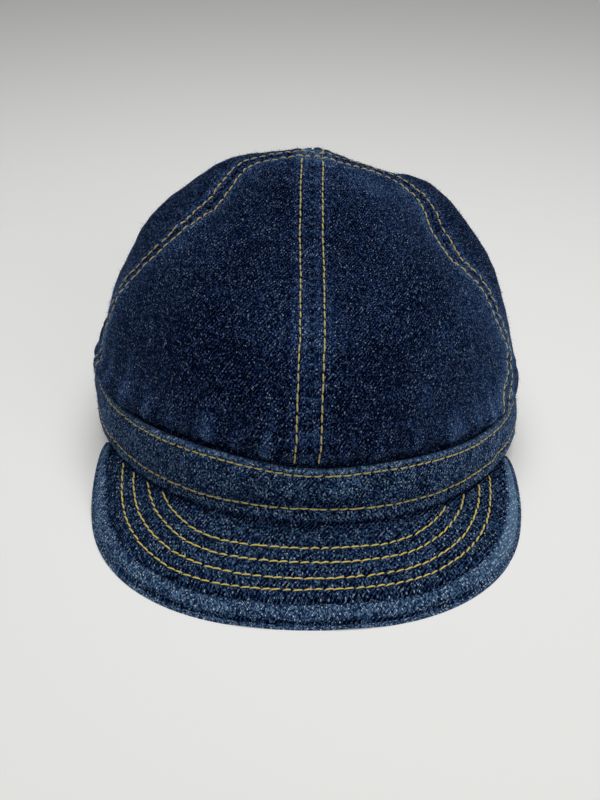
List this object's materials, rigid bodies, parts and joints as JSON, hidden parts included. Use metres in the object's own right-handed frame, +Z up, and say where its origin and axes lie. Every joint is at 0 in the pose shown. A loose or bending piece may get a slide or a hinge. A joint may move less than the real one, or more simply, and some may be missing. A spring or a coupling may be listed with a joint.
{
  "type": "work cap",
  "caption": "Soft denim work cap with a panelled crown, a stitched band and a short rounded visor, resting as it would on a table.",
  "frame": {"origin": "middle of the underside of the bounding box, on the surface that the cap rests on", "axes": "+Z up, -Y towards the visor, +X towards the wearer's left"},
  "size_m": [0.1828, 0.2416, 0.115],
  "materials": {
    "crown_denim": "washed indigo twill, salt-and-pepper flecks, matt with a faint fuzz",
    "band_denim": "washed indigo twill, paler along its folded edge",
    "visor_denim": "washed indigo twill, faded along the border",
    "visor_under_denim": "darker indigo twill"
  },
  "bodies": {
    "root": {"crown_front_left": "crown_denim", "crown_front_right": "crown_denim", "crown_back_left": "crown_denim", "crown_back_right": "crown_denim", "band": "band_denim", "visor_top": "visor_denim", "visor_under": "visor_under_denim"}
  },
  "joints": []
}
